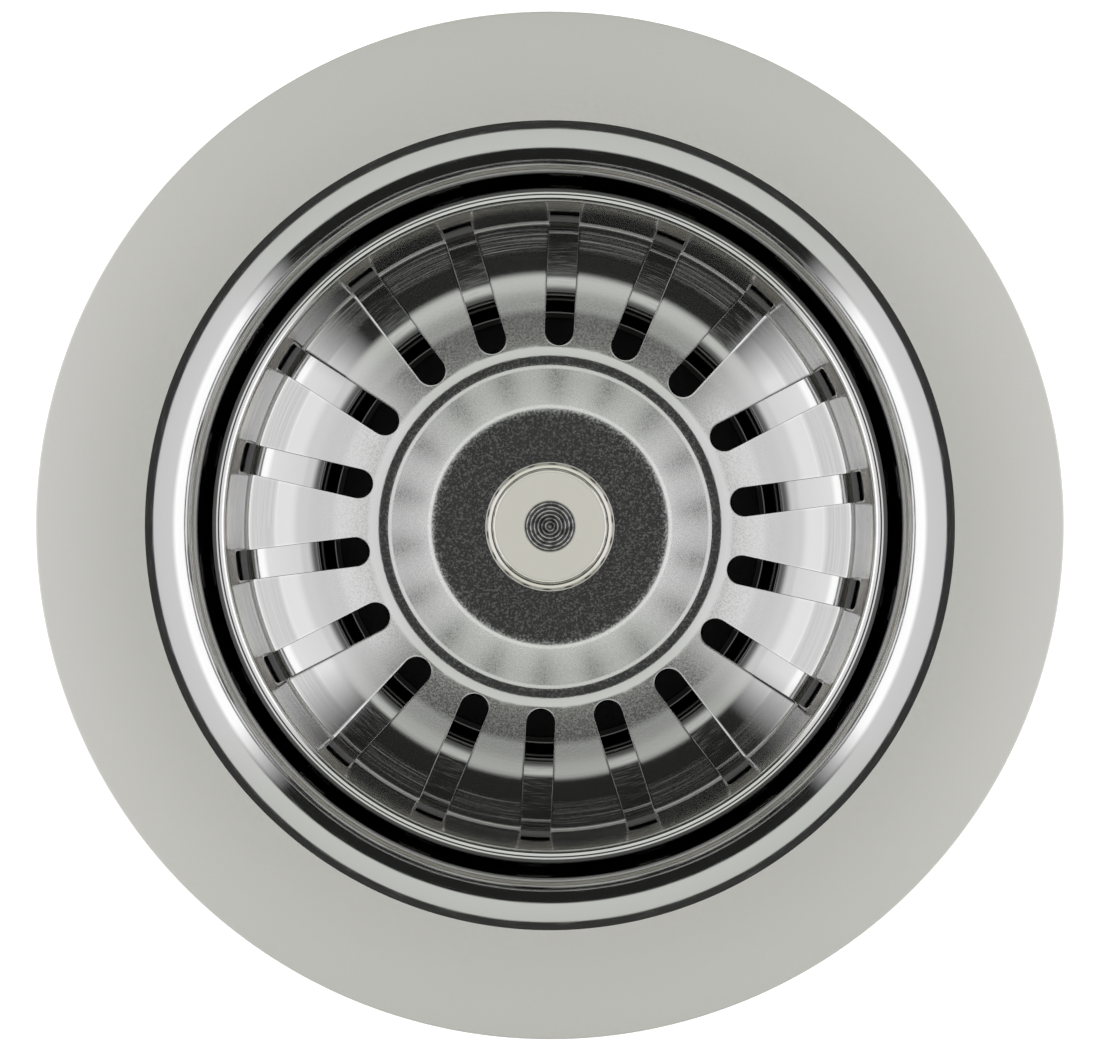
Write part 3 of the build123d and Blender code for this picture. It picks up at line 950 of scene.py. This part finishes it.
# %% Turned steel and brass
def metal(name, colour, low, high, across):
    """A turned or rolled metal with fine marks round the axis."""
    material, tree, shader = new_finish(name, colour, 1.0, (low + high) / 2)
    radius, angle, height = polar(tree)[1:]
    marks = round_marks(tree, radius, angle, height, across, along=4)
    rough = ramp(tree, marks, [(0.3, low), (0.7, high)])
    tree.links.new(rough, shader.inputs["Roughness"])
    bump(tree, shader, marks, depth=0.02, strength=0.25)
    return material


turned_finish = metal("turned steel", (0.66, 0.66, 0.65), low=0.16, high=0.34, across=8000)
brass_finish = metal("brass", (0.75, 0.55, 0.26), low=0.2, high=0.38, across=7000)
for piece in (screw, washer, ring, stem, retainer):
    piece.data.materials.append(turned_finish)
insert.data.materials.append(brass_finish)
print("metals", turned_finish.name, brass_finish.name)

# %% [markdown]
# ## Rubber and plastic
# Moulded pieces take the fine texture of their mould. Black rubber is never quite black,
# and pale plastic is never quite even, so both get a fine grain in the bump and a slow
# cloud between two tones that lie close together.

# %% Seal rubber and body plastic
def soft(name, dark, pale, roughness, scale, strength):
    """Rubber or plastic with a fine grain and a slight change of tone."""
    material, tree, shader = new_finish(name, dark, 0.0, roughness)
    place = node(tree, "ShaderNodeTexCoord").outputs["Object"]
    grain = noise(tree, place, scale, detail=4.0)
    cloud = noise(tree, place, scale=60.0, detail=2.0)
    tone = blend_colours(tree, cloud, (*dark, 1), (*pale, 1))
    tree.links.new(tone, shader.inputs["Base Color"])
    rough = ramp(tree, grain, [(0.3, roughness - 0.08), (0.7, roughness + 0.08)])
    tree.links.new(rough, shader.inputs["Roughness"])
    bump(tree, shader, grain, depth=0.05, strength=strength)
    return material


rubber_finish = soft("seal rubber", (0.012, 0.012, 0.013), (0.03, 0.03, 0.031),
                     roughness=0.6, scale=2600, strength=0.5)
plastic_finish = soft("body plastic", (0.80, 0.80, 0.78), (0.84, 0.84, 0.82),
                      roughness=0.42, scale=1500, strength=0.2)
for piece in (seal, rim_ring, body_ring):
    piece.data.materials.append(rubber_finish)
body.data.materials.append(plastic_finish)
print("moulded", rubber_finish.name, plastic_finish.name)

# %% [markdown]
# ## Studio
# Polished steel has no look of its own: it shows the studio. The photograph was taken
# straight down through a gap in a pale tent, so what faces up shows a dark spot, slopes
# show the pale tent, and steep walls show two bright boxes at the sides and darkness
# between them. Lamps and cards could be set up for that; painting the world by direction
# says it in two tables. Their positions go from straight up, 0, to straight down, 1. The
# camera itself sees plain white behind the object.

# %% Paint the studio round the object
WHITE = (1, 1, 1, 1)
TENT_TINT = (0.98, 1.0, 0.945, 1)
world = bpy.data.worlds.new("studio")
bpy.context.scene.world = world
world.use_nodes = True
tree = world.node_tree
tree.nodes.clear()
direction = node(tree, "ShaderNodeTexCoord").outputs["Generated"]
x, y, z = node(tree, "ShaderNodeSeparateXYZ", {0: direction}).outputs
lean = calc(tree, "MULTIPLY", calc(tree, "ARCCOSINE", z), 1 / math.pi)
tent = ramp(tree, lean, [
    (0.0, 0.045), (0.05, 0.045), (0.064, 0.72), (0.296, 0.76), (0.316, 0.02), (0.55, 0.02),
    (0.62, 0.5),
])
boxes = ramp(tree, lean, [
    (0.0, 0.045), (0.05, 0.045), (0.064, 0.82), (0.3055, 0.86), (0.36, 1.47), (0.52, 1.4),
    (0.62, 0.6),
])
tent = blend_colours(tree, 1.0, tent, TENT_TINT, way="MULTIPLY")
side = calc(tree, "ABSOLUTE", calc(tree, "COSINE", calc(tree, "ARCTAN2", y, x)))
at_sides = ramp(tree, side, [(0.70, 0.0), (0.84, 1.0)])
light = blend_colours(tree, at_sides, tent, boxes)
seen = node(tree, "ShaderNodeLightPath").outputs["Is Camera Ray"]
shown = blend_colours(tree, seen, light, WHITE)
background = node(tree, "ShaderNodeBackground", {"Color": shown, "Strength": 1.0})
node(tree, "ShaderNodeOutputWorld", {"Surface": background.outputs[0]})
print("studio nodes", len(tree.nodes))

# %% [markdown]
# ## Floor
# The waste stands on a pale floor just below its outlet. A plain grey floor would darken
# towards the edges and show as a disc, so this one also glows: white to the camera and in
# mirrors, while it still lights the object only as a pale floor does.

# %% Lay the floor
FLOOR_RADIUS, FLOOR_DROP, FLOOR_GLOW = 1.6, 0.0002, 0.8
clear()
bpy.ops.mesh.primitive_circle_add(vertices=96, radius=FLOOR_RADIUS, fill_type="NGON",
                                  location=(0, 0, -FLOOR_DROP))
floor = bpy.context.object
floor.name = "floor"
floor_finish, tree, shader = new_finish("pale floor", (0.86, 0.86, 0.86), 0.0, 0.8)
path = node(tree, "ShaderNodeLightPath").outputs
seen = calc(tree, "MAXIMUM", path["Is Camera Ray"], path["Is Glossy Ray"])
seen = calc(tree, "MAXIMUM", seen, path["Is Transmission Ray"])
tree.links.new(calc(tree, "MULTIPLY", seen, FLOOR_GLOW), shader.inputs["Emission Strength"])
shader.inputs["Emission Color"].default_value = WHITE
floor.data.materials.append(floor_finish)
print("floor radius", FLOOR_RADIUS)

# %% [markdown]
# ## Camera
# The photograph looks straight down from about two thirds of a metre, so the flange fills
# the frame and the deeper parts come out a few percent smaller. The lens follows from the
# width that has to fit at the flange's height, and a tilt of half a degree puts the basket
# a little off the flange's centre, as it is in the photograph.

# %% Place the camera
CAMERA_HEIGHT, VIEW_WIDTH, SENSOR = 660, 122.07, 36
SIDESTEP = 0.12
bpy.ops.object.camera_add()
camera = bpy.context.object
camera.name = "camera"
distance = CAMERA_HEIGHT * MM
tilt = math.radians(0.5)
target_z = FLANGE_TOP * MM
camera.data.sensor_width = SENSOR
camera.data.lens = SENSOR * CAMERA_HEIGHT / VIEW_WIDTH
camera.data.clip_start, camera.data.clip_end = 0.01, 10
across, up = -distance * math.sin(tilt), target_z + distance * math.cos(tilt)
camera.location = (SIDESTEP * MM, across, up)
camera.rotation_euler = (tilt, 0, 0)
bpy.context.scene.camera = camera
bpy.context.scene.view_settings.view_transform = "Standard"
print("lens", round(camera.data.lens, 1), "at", [round(v, 4) for v in camera.location])
